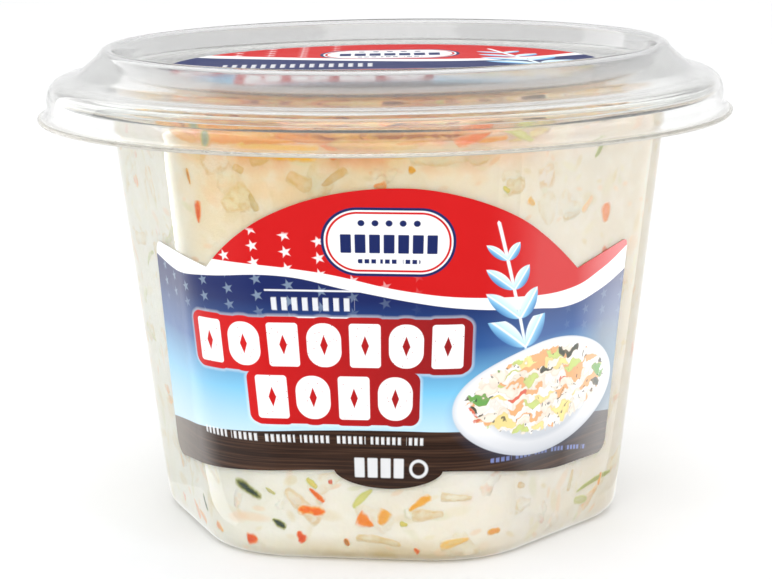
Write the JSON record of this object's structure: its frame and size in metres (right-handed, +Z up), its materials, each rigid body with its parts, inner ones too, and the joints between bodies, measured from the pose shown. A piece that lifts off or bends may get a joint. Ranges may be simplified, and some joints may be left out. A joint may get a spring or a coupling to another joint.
{
  "type": "coleslaw in a lidded tub",
  "caption": "Creamy coleslaw filling a clear hexagonal tapered tub, shut by a round clear lid with a stacking ring, with printed labels on the front and the lid.",
  "frame": {"origin": "middle of the underside, on the surface the tub stands on", "axes": "+Z up through the middle of the lid, -Y out of the front face of the tub, +X to the right of that face"},
  "size_m": [0.1174, 0.1174, 0.0808],
  "materials": {
    "clear_tub": "clear thin thermoformed plastic, glossy",
    "coleslaw": "ivory dressing with pale cabbage, orange carrot, red paprika and green shreds, wet sheen",
    "clear_lid": "clear thin thermoformed plastic, glossy",
    "front_print": "printed film in red, white, navy, pale blue and wood brown, satin",
    "lid_print": "printed film in red, white, navy, pale blue and wood brown, satin"
  },
  "bodies": {
    "root": {"tub": "clear_tub", "coleslaw": "coleslaw", "lid": "clear_lid", "front_label": "front_print", "lid_label": "lid_print"}
  },
  "joints": []
}
